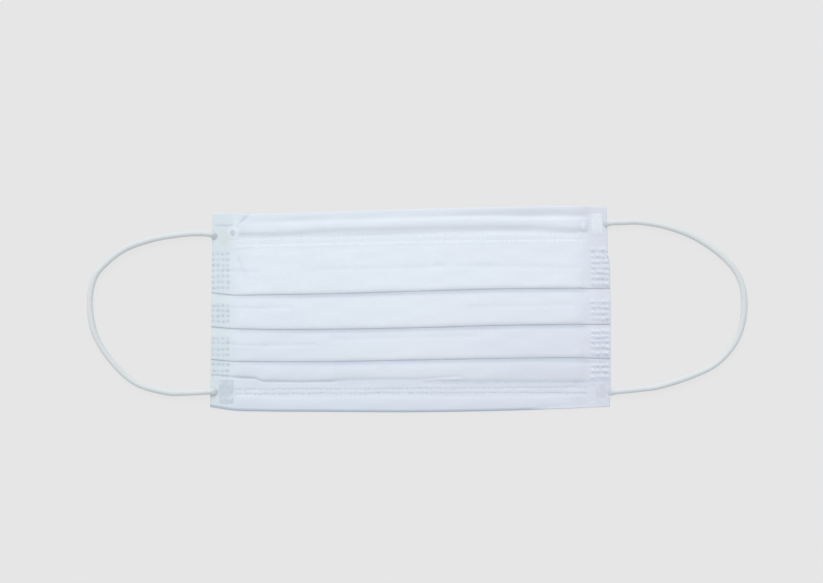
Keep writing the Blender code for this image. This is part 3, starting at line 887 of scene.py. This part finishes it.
def pressed_weld():
    """Cloth and cord melted together under a knurled foot: more compact, a little glossy, paler where
    thickest.
    """
    material, tree, shader = new_material("knurled_polypropylene_weld", 0.55, ior=1.49)
    specks = noise(tree, in_mm(tree), 1.1, 3.0)
    colour = mix_colour(tree, specks, attribute(tree, "tint", "Color"), "#E4EAF0", 0.15)
    tree.links.new(colour, shader.inputs["Base Color"])
    add_bump(tree, shader, specks, 0.3, 0.1)
    return material


def fused_film(name, low, high):
    """A weld dot's skin: polypropylene melted to a thin smooth film; its grey copy on dents carries painted
    shade and its pale copy on proud dots a painted highlight.
    """
    material, tree, shader = new_material(name, 0.4, ior=1.49)
    specks = noise(tree, in_mm(tree), 0.8, 2.0)
    tree.links.new(mix_colour(tree, specks, low, high), shader.inputs["Base Color"])
    return material


def knitted_elastic():
    """Polyester yarn knitted round spandex: soft, matt and greyish white, with its courses 0.9 mm apart.
    Its ends are melted to a darker, greyer mass."""
    material, tree, shader = new_material("knitted_polyester_elastic", 0.85)
    wale = maths(tree, "MULTIPLY", attribute(tree, "around"), float(WALES))
    wale = maths(tree, "COSINE", wale)
    course = maths(tree, "MULTIPLY_ADD", attribute(tree, "along"), 2 * math.pi * MM / COURSE, wale)
    course = maths(tree, "COSINE", course)
    stitch = add_node(tree, "ShaderNodeMapRange", {0: course, 1: -1.0, 2: 1.0, 3: 0.0, 4: 1.0}).outputs[0]
    colour = mix_colour(tree, stitch, "#D4DADD", "#D7DDDF")
    colour = mix_colour(tree, attribute(tree, "melted"), colour, "#C8D0D5")
    tree.links.new(colour, shader.inputs["Base Color"])
    add_bump(tree, shader, stitch, 0.05, 0.03)
    return material


def coated_wire():
    """Galvanised iron wire in an extruded white polyethylene coat, with faint draw lines along it."""
    material, tree, shader = new_material("polyethylene_coat", 0.4, ior=1.51)
    stretched = add_node(tree, "ShaderNodeMapping", {
        "Vector": in_mm(tree), "Scale": (0.03, 4.0, 4.0),
    }).outputs[0]
    lines = noise(tree, stretched, 1.0, 2.0)
    tree.links.new(mix_colour(tree, lines, "#E2E4E6", "#EEF0F2"), shader.inputs["Base Color"])
    add_bump(tree, shader, lines, 0.2, 0.03)
    return material


# A dot's film bead: its share of the dot's size, half height in mm, spread of sizes and fineness of mesh;
# the points are dropped onto the cloth from a height in metres
BEAD_SHARE = 0.62
BEAD_HALF_HEIGHT = 0.035
BEAD_SPREAD = 0.35
BEAD_SEGMENTS = 10
BEAD_RINGS = 5
DROP_HEIGHT = 0.02


def dot_tree():
    """Geometry Nodes that drop each point onto the cloth and lay a small bead there, turned to its slope."""
    tree = bpy.data.node_groups.new("weld_dots", "GeometryNodeTree")
    sockets = (
        ("Geometry", "Geometry"), ("Cloth", "Object"), ("Half Size", "Vector"),
        ("Size Spread", "Float"), ("Seed", "Int"), ("Material", "Material"),
    )
    for name, kind in sockets:
        tree.interface.new_socket(name, in_out="INPUT", socket_type="NodeSocket" + kind)
    tree.interface.new_socket("Geometry", in_out="OUTPUT", socket_type="NodeSocketGeometry")
    given = add_node(tree, "NodeGroupInput").outputs
    cloth = add_node(tree, "GeometryNodeObjectInfo", {"Object": given["Cloth"]}).outputs["Geometry"]
    hit = add_node(tree, "GeometryNodeRaycast", {
        "Target Geometry": cloth, "Ray Direction": (0.0, 0.0, -1.0), "Ray Length": 5 * DROP_HEIGHT,
    }).outputs
    turn = add_node(tree, "FunctionNodeAlignRotationToVector", {"Vector": hit["Hit Normal"]}, axis="Z")
    kept = add_node(tree, "GeometryNodeCaptureAttribute", {"Geometry": given["Geometry"]})
    kept.capture_items.new("ROTATION", "Turn")
    tree.links.new(turn.outputs[0], kept.inputs["Turn"])
    placed = add_node(tree, "GeometryNodeSetPosition", {
        "Geometry": kept.outputs["Geometry"], "Selection": hit["Is Hit"], "Position": hit["Hit Position"],
    }).outputs[0]
    bead = add_node(tree, "GeometryNodeMeshUVSphere", {
        "Segments": BEAD_SEGMENTS, "Rings": BEAD_RINGS, "Radius": 1.0,
    }).outputs["Mesh"]
    bead = add_node(tree, "GeometryNodeTransform", {"Geometry": bead, "Scale": given["Half Size"]})
    low = maths(tree, "SUBTRACT", 1.0, given["Size Spread"])
    high = maths(tree, "ADD", 1.0, given["Size Spread"])
    spread = add_node(tree, "FunctionNodeRandomValue", {
        2: low, 3: high, "Seed": given["Seed"],
    }, data_type="FLOAT")
    beads = add_node(tree, "GeometryNodeInstanceOnPoints", {
        "Points": placed, "Instance": bead.outputs[0], "Rotation": kept.outputs["Turn"],
        "Scale": spread.outputs[1],
    }).outputs[0]
    real = add_node(tree, "GeometryNodeRealizeInstances", {"Geometry": beads}).outputs[0]
    smooth = add_node(tree, "GeometryNodeSetShadeSmooth", {"Geometry": real}).outputs[0]
    done = add_node(tree, "GeometryNodeSetMaterial", {"Geometry": smooth, "Material": given["Material"]})
    add_node(tree, "NodeGroupOutput", {"Geometry": done.outputs[0]})
    return tree


def weld_dots(name, tree, cloth, material, seed):
    """One set of weld dots as a plain mesh."""
    centres, half_length, half_width, _ = DOTS[name]
    mesh = bpy.data.meshes.new(name)
    mesh.from_pydata([(x * MM, y * MM, DROP_HEIGHT) for x, y in centres], [], [])
    points = add_object("points_" + name, mesh)
    modifier = points.modifiers.new("weld_dots", "NODES")
    modifier.node_group = tree
    half_size = (half_length * BEAD_SHARE * MM, half_width * BEAD_SHARE * MM, BEAD_HALF_HEIGHT * MM)
    values = {
        "Cloth": cloth, "Half Size": half_size, "Seed": seed, "Size Spread": BEAD_SPREAD,
        "Material": material,
    }
    for item in tree.interface.items_tree:
        if item.in_out == "INPUT" and item.name in values:
            modifier[item.identifier] = values[item.name]
    evaluated = points.evaluated_get(bpy.context.evaluated_depsgraph_get())
    made = bpy.data.meshes.new_from_object(evaluated)
    piece = add_object("weld_dots_" + name, made)
    bpy.data.objects.remove(points)
    return piece


# The camera: the photograph is 823 by 583 pixels of 0.4386 mm, centred a little above the mask's middle
PIXEL = 0.4386 * MM
PHOTO_WIDTH = 823
CAMERA_HEIGHT = 1.5
CAMERA_X = 1.0 * PIXEL
CAMERA_Y = 18.1 * PIXEL


def make_camera():
    data = bpy.data.cameras.new("camera")
    data.lens = data.sensor_width * CAMERA_HEIGHT / (PHOTO_WIDTH * PIXEL)
    data.clip_start = 0.1
    data.clip_end = 10.0
    camera = add_object("camera", data)
    camera.location = (CAMERA_X, CAMERA_Y, CAMERA_HEIGHT)
    bpy.context.scene.camera = camera


# Light on a level white surface: 1 in all, from the even room and from the lamp
ROOM_LIGHT = 0.66
LAMP_LIGHT = 0.34
TABLE_GLOW = 0.9
TABLE_HALF_WIDTH = 3.0
LAMP_FROM = Vector((-0.22, 0.80, 0.80))
LAMP_ANGLE = 45.0


def make_stage():
    """The pale acrylic table lit from below, an even white room and a large lamp beyond the nose edge."""
    bm = bmesh.new()
    bmesh.ops.create_grid(bm, x_segments=1, y_segments=1, size=TABLE_HALF_WIDTH)
    mesh = bpy.data.meshes.new("table")
    bm.to_mesh(mesh)
    bm.free()
    table = add_object("table", mesh)
    material, _, shader = new_material("acrylic_table", 0.9)
    grey = linear("#E6E6E6")
    shader.inputs["Base Color"].default_value = [c * (1.0 - TABLE_GLOW) for c in grey[:3]] + [1.0]
    shader.inputs["Emission Color"].default_value = grey
    shader.inputs["Emission Strength"].default_value = TABLE_GLOW
    shader.inputs["Specular IOR Level"].default_value = 0.0
    mesh.materials.append(material)

    world = bpy.data.worlds.new("studio")
    world.use_nodes = True
    world.node_tree.nodes["Background"].inputs["Color"].default_value = (1.0, 1.0, 1.0, 1.0)
    world.node_tree.nodes["Background"].inputs["Strength"].default_value = ROOM_LIGHT
    bpy.context.scene.world = world

    direction = LAMP_FROM.normalized()
    light = bpy.data.lights.new("softbox", "SUN")
    light.energy = LAMP_LIGHT * math.pi / direction.z
    light.angle = math.radians(LAMP_ANGLE)
    lamp = add_object("softbox", light)
    lamp.rotation_euler = direction.to_track_quat("Z", "Y").to_euler()
    bpy.context.scene.view_settings.view_transform = "Standard"


# Where a ray slips between two faces, the cloth's top is taken at this height in mm
USUAL_TOP = 0.6


def ground_under(cloth):
    """A function that gives the height of the cloth's top in mm at a place in mm."""
    corners = [vertex.co.copy() for vertex in cloth.data.vertices]
    tree = BVHTree.FromPolygons(corners, [tuple(face.vertices) for face in cloth.data.polygons])

    def height(x, y):
        hit = tree.ray_cast(Vector((x * MM, y * MM, 0.05)), Vector((0.0, 0.0, -1.0)))[0]
        return hit.z / MM if hit else USUAL_TOP

    return height


def build():
    make_camera()
    make_stage()
    elastic = knitted_elastic()
    for loop in EAR_LOOP_ROUTES:
        cord, points, length = ear_loop(loop, elastic)
        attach(cord, "root")
        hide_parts(loop)

    cloth = cloth_body(spunbond())
    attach(cloth, "root")
    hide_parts("pleated_panel")
    over_cloth = ground_under(cloth)
    tree = dot_tree()
    # Dents get a grey film, for their melt and painted shade, and proud dots a pale film as a painted
    # highlight
    grey_shaded_film = fused_film("fused_polypropylene_film_painted_shade", "#BAC5D3", "#CDD7E3")
    highlight_film = fused_film("polypropylene_film_painted_highlight", "#DEE8F1", "#E8F0F7")
    welded = pressed_weld()
    welds = []
    for seed, name in enumerate(DOTS):
        stands_proud = DOTS[name][3] < 0.0
        film = highlight_film if stands_proud else grey_shaded_film
        welds.append(weld_dots(name, tree, cloth, film, seed + 1))
    for node in PADS:
        piece = pad(node, welded, over_cloth)
        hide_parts(node)
        welds.append(piece)
    for piece in welds:
        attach(piece, "root")

    wire = nose_wire(coated_wire())
    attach(wire, "root")
    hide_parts("nose_wire")


build()
